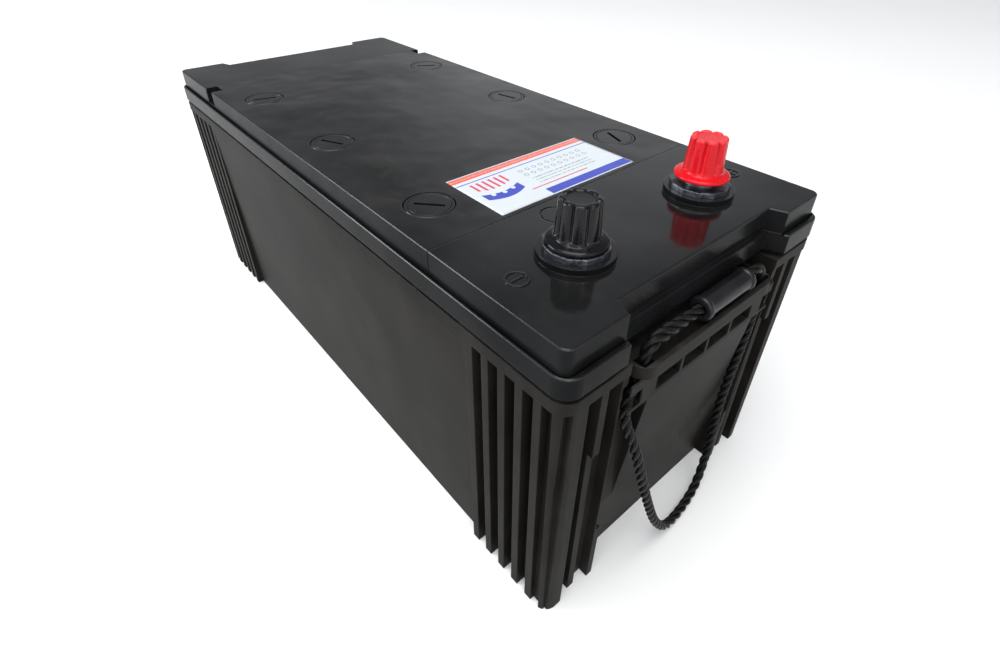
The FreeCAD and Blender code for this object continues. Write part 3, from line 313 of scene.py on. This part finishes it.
def printed_label(low, high):
    """White film: a coral stripe with a pale weave, a blue rule and band, a rose rule, bars on a dotted
    arch, two rows of rings and three of dashes.

    u runs from the label's rear edge to its front one, v from the middle towards +Y, in millimetres."""
    paint = Paint("printed_label")
    u = paint.x - low[0] / MM
    v = paint.y - (low[1] + high[1]) / 2 / MM
    white, ink = (0.60, 0.65, 0.69), (0.10, 0.11, 0.15)
    coral, blue, rose = (0.72, 0.13, 0.09), (0.045, 0.065, 0.42), (0.60, 0.07, 0.12)
    wear = paint.noise(0.22, 4.0, 0.6)
    shade = paint.blend(wear.rise(0.45, 0.8) * 0.25, white, (0.56, 0.59, 0.63))
    shade = paint.blend(u.band(1.0, 6.4), shade, coral)
    weave = (paint.y * 1.7).maths("FRACT").band(0.15, 0.62, 0.1) * u.band(2.9, 4.3)
    shade = paint.blend(weave * paint.noise(0.9).rise(0.42, 0.5) * 0.75, shade, white)
    shade = paint.blend(u.band(9.6, 10.5), shade, blue)
    shade = paint.blend(u.band(44.6, 51.6) * v.band(-16.0, 56.0), shade, blue)
    shade = paint.blend(u.band(39.6, 40.6) * v.band(-22.0, 26.0), shade, rose)

    bars = (paint.y * 0.22).maths("FRACT").band(0.2, 0.62, 0.05)
    crest = (v + 37.0) * (v + 37.0) * 0.02
    comb = bars * v.band(-49.0, -24.0) * u.band(13.0, 27.0) * (u + crest).rise(25.5, 25.0)
    shade = paint.blend(comb, shade, rose)
    arch = (u + crest).band(31.0, 38.5, 0.2) * v.band(-51.0, -23.0, 0.2)
    places = ((32.2, -37.0), (30.9, -44.5), (30.9, -29.5))
    dots = sum(spot(paint, u, v, row, column, 1.5) for row, column in places)
    shade = paint.blend(arch * (1 - dots.least(1.0)), shade, blue)

    for row in (17.0, 23.0):
        along = ((v + 14.0) / 5.8).maths("FRACT") * 5.8 - 2.9
        across = u - row
        distance = (along * along + across * across).maths("SQRT")
        rings = distance.band(1.15, 1.65, 0.15) * v.band(-14.0, 44.0, 0.01)
        shade = paint.blend(rings * 0.8, shade, ink)
    rules = u.band(28.6, 29.6, 0.1) + u.band(32.0, 32.8, 0.1) + u.band(35.4, 36.2, 0.1)
    breaks = paint.noise(0.75, 1.0, vector=paint.stretched(0.0, 1.0, 0.0)).rise(0.45, 0.49)
    dashes = breaks * v.band(-12.0, 38.0)
    shade = paint.blend(rules * dashes * 0.75, shade, ink)
    rough = 0.22 + wear * 0.2
    cockle = paint.bump(paint.noise(0.06, 2.0), 0.5)
    return paint.finish(Base_Color=shade, Roughness=rough, Normal=cockle, IOR=PLASTIC_IOR)


def rope_fibre():
    """Glossy twisted fibre: fine threads along each strand, from the strand's own UV map."""
    paint = Paint("rope_fibre")
    threads = paint.tree.nodes.new("ShaderNodeUVMap")
    threads.uv_map = "strand"
    lie = Wire(paint, threads.outputs[0])
    stretched = paint.add("ShaderNodeVectorMath", (lie, (0.35, 34.0, 1.0)), operation="MULTIPLY")
    fine = paint.add("ShaderNodeTexNoise", Vector=stretched, Scale=1.0, Detail=3.0)
    fuzz = paint.noise(1.8, 3.0)
    shade = paint.blend(fine.rise(0.4, 0.7), (0.003, 0.003, 0.003), (0.012, 0.012, 0.013))
    shade = paint.blend(fuzz.rise(0.62, 0.75) * 0.2, shade, (0.03, 0.03, 0.03))
    return paint.finish(Base_Color=shade, Roughness=0.14 + fuzz * 0.2, Normal=paint.bump(fine, 0.3),
                        IOR=PLASTIC_IOR, Specular_IOR_Level=0.13)


def pasted_plate(name, low, high):
    """A pasted plate: crumbly paste with the grid's bars just showing."""
    paint = Paint(name)
    crumbs = paint.noise(0.5, 5.0, 0.7)
    upright = (paint.x * 0.12).maths("FRACT").band(0.42, 0.58, 0.05)
    bars = (paint.z * 0.12).maths("FRACT").band(0.42, 0.58, 0.05).most(upright)
    shade = paint.blend(crumbs.rise(0.3, 0.7), low, high)
    shade = paint.blend(bars * 0.4, shade, (0.36, 0.37, 0.40))
    return paint.finish(Base_Color=shade, Roughness=0.55 + crumbs * 0.3, Metallic=0.25,
                        Normal=paint.bump(crumbs + bars * 0.3, 0.3))


def porous(name, colour):
    """Pale porous material: fine pits and slight soiling."""
    paint = Paint(name)
    pits = paint.noise(2.2, 3.0, 0.7)
    soil = paint.noise(0.2, 3.0)
    shade = paint.blend(pits.rise(0.4, 0.7), tuple(c * 0.6 for c in colour), colour)
    shade = paint.blend(soil.rise(0.55, 0.8) * 0.3, shade, (0.35, 0.32, 0.28))
    return paint.finish(Base_Color=shade, Roughness=0.75 + pits * 0.2, Normal=paint.bump(pits, 0.2))


def seal_rubber():
    """Plain black rubber with a dull bloom."""
    paint = Paint("seal_rubber")
    bloom = paint.noise(0.5, 4.0)
    shade = paint.blend(bloom.rise(0.4, 0.8) * 0.5, (0.012, 0.012, 0.012), (0.06, 0.06, 0.058))
    grain = paint.bump(paint.noise(2.5), 0.05)
    return paint.finish(Base_Color=shade, Roughness=0.45 + bloom * 0.25, Normal=grain)


def floor_paint():
    """A plain pale floor with a very faint mottle."""
    paint = Paint("pale_floor")
    mottle = paint.noise(0.004, 4.0)
    shade = paint.blend(mottle, (0.92, 0.92, 0.92), (0.95, 0.95, 0.95))
    return paint.finish(Base_Color=shade, Roughness=0.9, Specular_IOR_Level=0.1)


def dress(name, material):
    """Puts a material in every slot of a CAD node."""
    item = NODES[name]
    if not item.material_slots:
        item.data.materials.append(material)
    for entry in item.material_slots:
        entry.material = material


# ------------------------------------------------------------------ meshes

def grid_mesh(name, points, close_u=True, close_v=False, caps=False):
    """A mesh from a (rows, columns, 3) array: neighbours joined by quads, closed round either way.

    close_u joins the last column to the first, close_v the last row to the first, and caps closes
    the first and last row with one face each."""
    rows, columns = points.shape[:2]
    index = np.arange(rows * columns).reshape(rows, columns)
    down = np.roll(index, -1, axis=0) if close_v else index[1:]
    here = index if close_v else index[:-1]
    if close_u:
        quads = np.stack([here, np.roll(here, -1, 1), np.roll(down, -1, 1), down], axis=-1)
    else:
        quads = np.stack([here[:, :-1], here[:, 1:], down[:, 1:], down[:, :-1]], axis=-1)
    faces = quads.reshape(-1, 4).tolist()
    if caps:
        faces.append(index[0, ::-1].tolist())
        faces.append(index[-1].tolist())
    mesh = bpy.data.meshes.new(name)
    mesh.from_pydata(points.reshape(-1, 3).tolist(), [], faces)
    mesh.update()
    return mesh


def new_object(name, mesh, material, body, smooth=True):
    """Links a mesh as an object with one material. With body None it rides on nothing yet."""
    item = bpy.data.objects.new(name, mesh)
    bpy.context.scene.collection.objects.link(item)
    mesh.materials.append(material)
    mesh.polygons.foreach_set("use_smooth", np.full(len(mesh.polygons), smooth))
    if body:
        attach(item, body)
    return item


def join_meshes(name, meshes):
    """One mesh with the faces of several, one after the other."""
    points = []
    faces = []
    for mesh in meshes:
        start = len(points)
        points += [tuple(vertex.co) for vertex in mesh.vertices]
        faces += [[start + index for index in polygon.vertices] for polygon in mesh.polygons]
    joined = bpy.data.meshes.new(name)
    joined.from_pydata(points, [], faces)
    joined.update()
    return joined


def eased(profile, radius, steps=5):
    """A (radius, height) profile whose inner corners are rounded by quadratic arcs of the given reach."""
    profile = np.asarray(profile, float)
    result = [profile[0]]
    share = np.linspace(0.0, 1.0, steps)[:, None]
    for before, corner, after in zip(profile, profile[1:], profile[2:]):
        back, ahead = before - corner, after - corner
        first = corner + back * min(radius / np.linalg.norm(back), 0.45)
        last = corner + ahead * min(radius / np.linalg.norm(ahead), 0.45)
        result += list((1 - share) ** 2 * first + 2 * share * (1 - share) * corner + share ** 2 * last)
    return np.array(result + [profile[-1]])


def spline_points(name, route, spacing):
    """Points a given spacing apart on the NURBS spline that has the route as its control points."""
    curve = bpy.data.curves.new(name, "CURVE")
    curve.dimensions = "3D"
    spline = curve.splines.new("NURBS")
    spline.points.add(len(route) - 1)
    spline.points.foreach_set("co", np.column_stack([np.array(route), np.ones(len(route))]).ravel())
    spline.order_u = 3
    spline.use_endpoint_u = True
    spline.resolution_u = 32
    carrier = bpy.data.objects.new(name, curve)
    bpy.context.scene.collection.objects.link(carrier)
    bpy.context.view_layer.update()
    mesh = bpy.data.meshes.new_from_object(carrier)
    raw = np.empty(len(mesh.vertices) * 3)
    mesh.vertices.foreach_get("co", raw)
    raw = raw.reshape(-1, 3)
    bpy.data.objects.remove(carrier)
    bpy.data.curves.remove(curve)
    bpy.data.meshes.remove(mesh)
    reach = np.concatenate([[0.0], np.cumsum(np.linalg.norm(np.diff(raw, axis=0), axis=1))])
    wanted = np.linspace(0.0, reach[-1], int(reach[-1] / spacing) + 1)
    return np.column_stack([np.interp(wanted, reach, raw[:, axis]) for axis in range(3)])


def frames_along(path):
    """Normal and binormal at each point, carried along the path without twisting."""
    tangent = np.gradient(path, axis=0)
    tangent /= np.linalg.norm(tangent, axis=1)[:, None]
    normal = np.empty_like(path)
    seed = np.cross(tangent[0], (1.0, 0.0, 0.0))
    normal[0] = seed / np.linalg.norm(seed)
    for i in range(1, len(path)):
        side = normal[i - 1] - tangent[i] * normal[i - 1].dot(tangent[i])
        normal[i] = side / np.linalg.norm(side)
    return normal, np.cross(tangent, normal)


def twisted_rope(name, route, diameter, pitch, material, spacing=0.0008, facets=12):
    """Three strands round the route's spline, as an object, with the path and its length.

    diameter is a function of the share of the way along. Strand k's centre is
    path + a (normal cos(w) + binormal sin(w)) with w = 2 pi (s / pitch + k / 3), where a is the strand's
    offset and s the length so far. The strand's own section is a circle."""
    path = spline_points(name + "_route", route, spacing)
    normal, binormal = frames_along(path)
    reach = np.concatenate([[0.0], np.cumsum(np.linalg.norm(np.diff(path, axis=0), axis=1))])
    wide = diameter(reach / reach[-1])
    angle = np.linspace(0.0, 2 * math.pi, facets, endpoint=False)
    meshes = []
    for strand in range(STRANDS):
        wind = 2 * math.pi * (reach / pitch + strand / STRANDS)
        out = normal * np.cos(wind)[:, None] + binormal * np.sin(wind)[:, None]
        side = -normal * np.sin(wind)[:, None] + binormal * np.cos(wind)[:, None]
        centre = path + out * (STRAND_OFFSET * wide)[:, None]
        along = np.gradient(centre, axis=0)
        along /= np.linalg.norm(along, axis=1)[:, None]
        across = side - along * np.sum(side * along, axis=1)[:, None]
        across /= np.linalg.norm(across, axis=1)[:, None]
        rise = np.cross(along, across)
        radius = (STRAND_RADIUS * wide)[:, None, None]
        points = centre[:, None] + radius * (across[:, None] * np.cos(angle)[None, :, None]
                                             + rise[:, None] * np.sin(angle)[None, :, None])
        meshes.append(grid_mesh(name, points, caps=True))
    mesh = join_meshes(name, meshes)
    strand_uv(mesh, len(path), facets, reach / MM)
    return new_object(name, mesh, material, None), path, reach[-1]


def strand_uv(mesh, rows, facets, reach):
    """A UV map with u the millimetres along a strand and v the share of the way round it.

    In the faces that close a strand's way round, the first column counts as 1 and not as 0."""
    layer = mesh.uv_layers.new(name="strand")
    corner_vertex = np.empty(len(mesh.loops), int)
    mesh.loops.foreach_get("vertex_index", corner_vertex)
    local = corner_vertex % (rows * facets)
    u = reach[local // facets]
    v = (local % facets) / facets
    first = np.empty(len(mesh.polygons), int)
    total = np.empty(len(mesh.polygons), int)
    mesh.polygons.foreach_get("loop_start", first)
    mesh.polygons.foreach_get("loop_total", total)
    owner = np.repeat(np.arange(len(total)), total)
    highest = np.maximum.reduceat(v, first)
    v = np.where((highest[owner] > 0.75) & (v == 0), 1.0, v)
    layer.data.foreach_set("uv", np.column_stack([u, v]).ravel())


# ------------------------------------------------------------------ properties

class BatterySettings(bpy.types.PropertyGroup):
    """Sizes and colours of the battery's finish."""

    case_colour: bpy.props.FloatVectorProperty(
        name="Case colour", description="Colour of the case's plastic", subtype="COLOR",
        default=(0.0085, 0.0078, 0.0068), min=0.0, max=1.0)
    lid_colour: bpy.props.FloatVectorProperty(
        name="Lid colour", description="Colour of the lid's plastic", subtype="COLOR",
        default=(0.0050, 0.0052, 0.0056), min=0.0, max=1.0)
    case_gloss: bpy.props.FloatProperty(
        name="Case roughness", description="Roughness of the case", default=0.36, min=0.0, max=1.0,
        subtype="FACTOR")
    lid_gloss: bpy.props.FloatProperty(
        name="Lid roughness", description="Roughness of the lid", default=0.10, min=0.0, max=1.0,
        subtype="FACTOR")
    red_cap: bpy.props.FloatVectorProperty(
        name="Positive cap", description="Colour of the positive terminal's cap", subtype="COLOR",
        default=(0.56, 0.002, 0.008), min=0.0, max=1.0)
    black_cap: bpy.props.FloatVectorProperty(
        name="Negative cap", description="Colour of the negative terminal's cap", subtype="COLOR",
        default=(0.004, 0.004, 0.005), min=0.0, max=1.0)
    rope_diameter: bpy.props.FloatProperty(
        name="Rope diameter", description="Diameter of the hanging rope", default=0.0060,
        min=0.003, max=0.009, unit="LENGTH")
    rope_pitch: bpy.props.FloatProperty(
        name="Rope lay", description="Length in which a strand goes once round the rope", default=0.021,
        min=0.010, max=0.060, unit="LENGTH")
    light: bpy.props.FloatProperty(
        name="Overhead light", description="Power of the large soft light", default=36.0, min=0.0, max=500.0,
        unit="POWER")


# ------------------------------------------------------------------ operators

class BATTERY_OT_case(bpy.types.Operator):
    """Gives the case its moulded plastic"""

    bl_idname = "battery.case"
    bl_label = "Case"

    def execute(self, context):
        settings = context.scene.battery
        dress("case", moulded("case_plastic", tuple(settings.case_colour), settings.case_gloss,
                              0.40, 0.035, grain=0.035, wave=0.25, streak=0.30, dust=0.35, edge=0.9))
        return {"FINISHED"}


class BATTERY_OT_lid(bpy.types.Operator):
    """Gives the lid, its vent cover and the gas outlets their finish"""

    bl_idname = "battery.lid"
    bl_label = "Lid and vent cover"

    def execute(self, context):
        settings = context.scene.battery
        colour = tuple(settings.lid_colour)
        dress("lid", moulded("lid_plastic", colour, settings.lid_gloss, 0.38, 0.03,
                             wave=0.5, dust=0.08, edge=0.8))
        dress("vent_cover", moulded("cover_plastic", colour, settings.lid_gloss + 0.10, 0.38, 0.03,
                                    wave=2.2, dust=0.16, edge=0.8))
        disc = porous("porous_disc", (0.72, 0.70, 0.66))
        for side in ("left", "right"):
            dress(f"flame_arrestor_{side}", disc)
        return {"FINISHED"}


class BATTERY_OT_plugs(bpy.types.Operator):
    """Gives the vent plugs and their seals their finish"""

    bl_idname = "battery.plugs"
    bl_label = "Vent plugs"

    def execute(self, context):
        settings = context.scene.battery
        plastic = moulded("plug_plastic", tuple(settings.lid_colour), settings.lid_gloss + 0.10, 0.38, 0.05,
                          wave=0.3, dust=0.2, edge=0.35)
        rubber = seal_rubber()
        for i in CELLS:
            dress(f"vent_plug_{i}", plastic)
            dress(f"plug_seal_{i}", rubber)
        return {"FINISHED"}


class BATTERY_OT_label(bpy.types.Operator):
    """Replaces the plain label with a printed film that lies slightly uneven"""

    bl_idname = "battery.label"
    bl_label = "Label"
    swell = 0.04 * MM
    bedding = 0.05 * MM

    def execute(self, context):
        """The film's top is at high + swell sin(260 x) cos(190 y), and it reaches down to just inside the
        cover, so no gap shows under it."""
        low, high = (np.array(corner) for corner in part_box("label"))
        columns = np.linspace(low[0], high[0], 28)
        rows = np.linspace(low[1], high[1], 56)
        x, y = np.meshgrid(columns, rows)
        swell = self.swell * np.sin(x * 260) * np.cos(y * 190)
        top = np.dstack([x, y, np.full_like(x, high[2]) + swell])
        mesh = grid_mesh("label_film", top, close_u=False)
        film = new_object("label_film", mesh, printed_label(low, high), "battery")
        solid = film.modifiers.new("film", "SOLIDIFY")
        solid.thickness = high[2] - low[2] + self.bedding
        solid.offset = -1.0
        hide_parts("label")
        return {"FINISHED"}


class BATTERY_OT_terminals(bpy.types.Operator):
    """Gives the bushings, the posts and the links between the cells their cast lead"""

    bl_idname = "battery.terminals"
    bl_label = "Terminals"

    def execute(self, context):
        lead = cast_lead()
        for tag in POLES:
            dress(f"terminal_bushing_{tag}", lead)
            dress(f"terminal_post_{tag}", lead)
        for i in CELL_LINKS:
            dress(f"cell_link_{i}", lead)
        return {"FINISHED"}


class BATTERY_OT_caps(bpy.types.Operator):
    """Builds the soft fluted caps over the posts"""

    bl_idname = "battery.caps"
    bl_label = "Terminal caps"

    def execute(self, context):
        settings = context.scene.battery
        # Each look: slot name, colour, the paler colour of the crown, and roughness.
        looks = (("cap_red", tuple(settings.red_cap), (0.80, 0.09, 0.10), 0.24),
                 ("cap_black", tuple(settings.black_cap), (0.010, 0.011, 0.013), 0.12))
        for tag, (slot_name, colour, crown_colour, gloss) in zip(POLES, looks):
            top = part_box(f"terminal_cap_{tag}")[1][2] / MM
            material = soft_cap(slot_name, colour, crown_colour, gloss, top)
            cap = new_object(f"cap_{tag}", self.cap_mesh(tag), material, f"cap_{tag}")
            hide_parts(f"terminal_cap_{tag}")
        return {"FINISHED"}

    def cap_mesh(self, tag):
        """A turned shell with eight lobes: radius r(s) less a depth times the flute wave of the angle.

        The flute wave is (1 - |cos(4 a)|) squared, so the grooves are narrow and the lobes stay round. It
        notches the crown's rim and ends above the flange. All is in millimetres from the cap's foot."""
        low, high = (np.array(corner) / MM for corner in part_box(f"terminal_cap_{tag}"))
        centre = (low + high) / 2
        height = high[2] - low[2]
        flange = (high[0] - low[0]) / 2
        body, tip, bore = 0.715 * flange, 0.660 * flange, 0.59 * flange
        middle, dish = 0.01, 0.9
        crown = [(middle, height - dish), (tip - 3.6, height - dish), (tip - 2.9, height),
                 (tip - 1.0, height), (tip, height - dish)]
        skirt = [(body, 4.6), (body + 0.6, 3.2), (flange - 1.0, 2.5), (flange, 1.7), (flange, 0.5),
                 (flange - 0.9, 0.0)]
        inside = [(bore + 1.0, 0.0), (bore, 1.0), (bore - 0.9, height - 5.6), (middle, height - 4.8)]
        profile = eased(crown + skirt + inside, 0.6)

        flute_depth, flute_foot, flute_run, notch_depth = 2.0, 3.6, 1.6, 1.3
        angle = np.linspace(0.0, 2 * math.pi, 256, endpoint=False)
        radius, level = profile[:, 0:1], profile[:, 1:2]
        wave = (1 - np.abs(np.cos(4 * angle)))[None, :] ** 2
        above = np.clip((level - flute_foot) / flute_run, 0, 1)
        outside = (radius > bore + 0.15) & (level > 3.0)
        depth = flute_depth * above * outside * np.clip((radius - (tip - 3.4)) / 1.4, 0, 1)
        ring = radius - depth * wave
        notch = notch_depth * wave * (level > height - 1.0) * (radius > tip - 3.3)
        points = np.dstack([centre[0] + ring * np.cos(angle),
                            centre[1] + ring * np.sin(angle),
                            low[2] + level - notch]) * MM
        return grid_mesh(f"cap_{tag}", points[::-1], caps=True)


class BATTERY_OT_handles(bpy.types.Operator):
    """Builds the sleeves and the twisted ropes of both handles"""

    bl_idname = "battery.handles"
    bl_label = "Rope handles"

    def execute(self, context):
        settings = context.scene.battery
        fibre = rope_fibre()
        plastic = moulded("grip_plastic", (0.005, 0.005, 0.006), 0.20, 0.3, 0.16,
                          grain=0.02, streak=0.3, dust=0.1, edge=0.3)
        for end, where in ENDS:
            turn = np.array([end, end, 1.0])
            self.sleeve(where, plastic)
            self.upper(where, np.array(GRIP_ROUTE) * turn, settings, fibre)
            self.loop(where, np.array(HANGING_ROUTE) * turn, settings, fibre)
        return {"FINISHED"}

    def sleeve(self, where, material):
        """A turned sleeve with thick rims: a closed (radius, place) profile swept round the Y axis."""
        low, high = (np.array(corner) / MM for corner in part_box(f"handle_grip_{where}"))
        centre = (low + high) / 2
        half = (high[1] - low[1]) / 2
        rim = (high[2] - low[2]) / 2
        barrel, bore = rim - 0.8, rim - 3.4
        outside = [(bore + 0.3, half), (rim - 0.8, half), (rim, half - 0.9), (rim, half - 2.9),
                   (barrel, half - 3.8), (barrel, half - 6.6)]
        mirrored = [(radius, -place) for radius, place in reversed(outside)]
        profile = outside + mirrored + [(bore, -half + 0.4), (bore, half - 0.4)]
        ring = eased(profile + [profile[0]], 0.45, 4)[:-1]
        angle = np.linspace(0.0, 2 * math.pi, 64, endpoint=False)
        points = np.dstack([centre[0] + ring[:, 0:1] * np.cos(angle),
                            centre[1] + ring[:, 1:2] + 0 * angle,
                            centre[2] + ring[:, 0:1] * np.sin(angle)]) * MM
        mesh = grid_mesh(f"sleeve_{where}", points, close_v=True)
        sleeve = new_object(f"sleeve_{where}", mesh, material, f"grip_{where}")
        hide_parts(f"handle_grip_{where}")

    def upper(self, where, route, settings, fibre):
        """The stretch through the sleeve, with its strands loosened on both sides of it."""
        thick = settings.rope_diameter

        def swell(share):
            """The rope's diameter: a bell curve on each side of the sleeve, on a slightly thicker rope."""
            loose = np.exp(-((share - 0.22) / 0.10) ** 2) + 0.5 * np.exp(-((share - 0.88) / 0.05) ** 2)
            return thick * (1.06 + 0.28 * loose)

        rope, path, length = twisted_rope(f"rope_upper_{where}", route, swell,
                                          settings.rope_pitch * 1.15, fibre, spacing=0.0005)
        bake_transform(rope)
        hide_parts(f"handle_rope_{where}", f"rope_risers_{where}")

    def loop(self, where, route, settings, fibre):
        """The loop that hangs out of the two windows."""
        thick = settings.rope_diameter
        rope, path, length = twisted_rope(f"rope_hanging_{where}", route,
                                          lambda share: np.full_like(share, thick),
                                          settings.rope_pitch, fibre)
        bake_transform(rope)
        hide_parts(f"hanging_rope_{where}")


class BATTERY_OT_cells(bpy.types.Operator):
    """Gives the plates and separators inside their finish"""

    bl_idname = "battery.cells"
    bl_label = "Cells"

    def execute(self, context):
        positive = pasted_plate("positive_plate", (0.07, 0.035, 0.02), (0.20, 0.12, 0.08))
        negative = pasted_plate("negative_plate", (0.16, 0.17, 0.19), (0.34, 0.35, 0.38))
        leaf = porous("separator_sheet", (0.75, 0.74, 0.70))
        for i in CELLS:
            dress(f"positive_plates_{i}", positive)
            dress(f"negative_plates_{i}", negative)
            dress(f"separators_{i}", leaf)
        return {"FINISHED"}


class BATTERY_OT_stage(bpy.types.Operator):
    """Sets up the camera, the pale floor and the soft light"""

    bl_idname = "battery.stage"
    bl_label = "Stage"

    def execute(self, context):
        scene = context.scene
        self.camera(scene)
        reach = (-FLOOR_HALF, FLOOR_HALF)
        x, y = np.meshgrid(reach, reach)
        mesh = grid_mesh("floor", np.dstack([x, y, np.zeros_like(x)]), close_u=False)
        floor = new_object("floor", mesh, floor_paint(), None, smooth=False)
        scene.world = self.surroundings()
        scene.view_settings.view_transform = "Standard"
        for name, place, size, share, colour in LIGHTS:
            self.area(name, place, size, scene.battery.light * share, colour)
        return {"FINISHED"}

    def surroundings(self):
        """A room: a pale band at floor level, a dim ceiling with a soft pattern, one brighter patch of wall
        and a broad brightness from the side with the windows."""
        world = bpy.data.worlds.new("studio")
        world.use_nodes = True
        tree = world.node_tree

        def add(kind, *inputs, **settings):
            node = tree.nodes.new(kind)
            for name, value in settings.items():
                setattr(node, name, value)
            for socket, value in zip(node.inputs, inputs):
                if isinstance(value, bpy.types.NodeSocket):
                    tree.links.new(value, socket)
                else:
                    socket.default_value = value
            return node

        direction = add("ShaderNodeTexCoord").outputs["Generated"]
        height = add("ShaderNodeSeparateXYZ", direction).outputs[2]
        band = self.ramp(add, height, 0.02, 0.22, 0.85, 0.28)
        stretched = add("ShaderNodeVectorMath", direction, (3.0, 3.0, 9.0), operation="MULTIPLY").outputs[0]
        noise = add("ShaderNodeTexNoise")
        tree.links.new(stretched, noise.inputs["Vector"])
        noise.inputs["Scale"].default_value = 1.3
        shade = add("ShaderNodeMapRange", noise.outputs[0], 0.35, 0.65, 0.75, 1.25).outputs[0]
        nearness = []
        for towards in (BRIGHT_WALL, WINDOWS):
            dot = add("ShaderNodeVectorMath", direction, towards, operation="DOT_PRODUCT")
            nearness.append(dot.outputs["Value"])
        patch = self.ramp(add, nearness[0], 0.93, 0.995, 0.0, 0.40)
        glow = self.ramp(add, nearness[1], 0.0, 0.7, 0.0, 0.95)
        lit = add("ShaderNodeMath", patch, glow, operation="ADD").outputs[0]
        room = add("ShaderNodeMath", band, shade, operation="MULTIPLY").outputs[0]
        strength = add("ShaderNodeMath", room, lit, operation="ADD").outputs[0]
        background = tree.nodes["Background"]
        background.inputs[0].default_value = (0.95, 0.97, 1.0, 1.0)
        tree.links.new(strength, background.inputs[1])
        return world

    def ramp(self, add, value, low, high, first, last):
        """A smooth step from first at low to last at high."""
        step = add("ShaderNodeMapRange", value, low, high, first, last, interpolation_type="SMOOTHSTEP")
        return step.outputs[0]

    def camera(self, scene):
        """The camera, turned so that its own axes are right, up and back, made square to each other."""
        back = CAMERA_RIGHT.cross(CAMERA_UP).normalized()
        up = back.cross(CAMERA_RIGHT).normalized()
        turn = Matrix((CAMERA_RIGHT.normalized(), up, back)).transposed().to_4x4()
        data = bpy.data.cameras.new("camera")
        data.sensor_width = 36.0
        data.lens = CAMERA_LENS
        data.shift_y = CAMERA_SHIFT
        data.clip_start = 0.01
        item = bpy.data.objects.new("camera", data)
        item.matrix_world = Matrix.Translation(CAMERA_PLACE) @ turn
        scene.collection.objects.link(item)
        scene.camera = item

    def area(self, name, place, size, power, colour):
        """A soft light aimed at the middle of the object."""
        data = bpy.data.lights.new(name, "AREA")
        data.energy = power
        data.size = size
        data.color = colour
        item = bpy.data.objects.new(name, data)
        item.location = place
        item.rotation_euler = (Vector((0, 0, 0.1)) - Vector(place)).to_track_quat("-Z", "Y").to_euler()
        bpy.context.scene.collection.objects.link(item)


class BATTERY_PT_panel(bpy.types.Panel):
    """The battery's settings and its operators"""

    bl_idname = "BATTERY_PT_panel"
    bl_label = "Battery"
    bl_space_type = "VIEW_3D"
    bl_region_type = "UI"
    bl_category = "Battery"

    def draw(self, context):
        layout = self.layout
        for name in BatterySettings.__annotations__:
            layout.prop(context.scene.battery, name)
        for operator in OPERATORS:
            layout.operator(operator.bl_idname)


OPERATORS = (
    BATTERY_OT_stage,
    BATTERY_OT_handles,
    BATTERY_OT_case,
    BATTERY_OT_lid,
    BATTERY_OT_plugs,
    BATTERY_OT_label,
    BATTERY_OT_terminals,
    BATTERY_OT_caps,
    BATTERY_OT_cells,
)
CLASSES = (BatterySettings,) + OPERATORS + (BATTERY_PT_panel,)


def register():
    for item in CLASSES:
        bpy.utils.register_class(item)
    bpy.types.Scene.battery = bpy.props.PointerProperty(type=BatterySettings)


def unregister():
    del bpy.types.Scene.battery
    for item in reversed(CLASSES):
        bpy.utils.unregister_class(item)


def main():
    register()
    for operator in OPERATORS:
        group, action = operator.bl_idname.split(".")
        getattr(getattr(bpy.ops, group), action)()


if __name__ == "__main__":
    main()
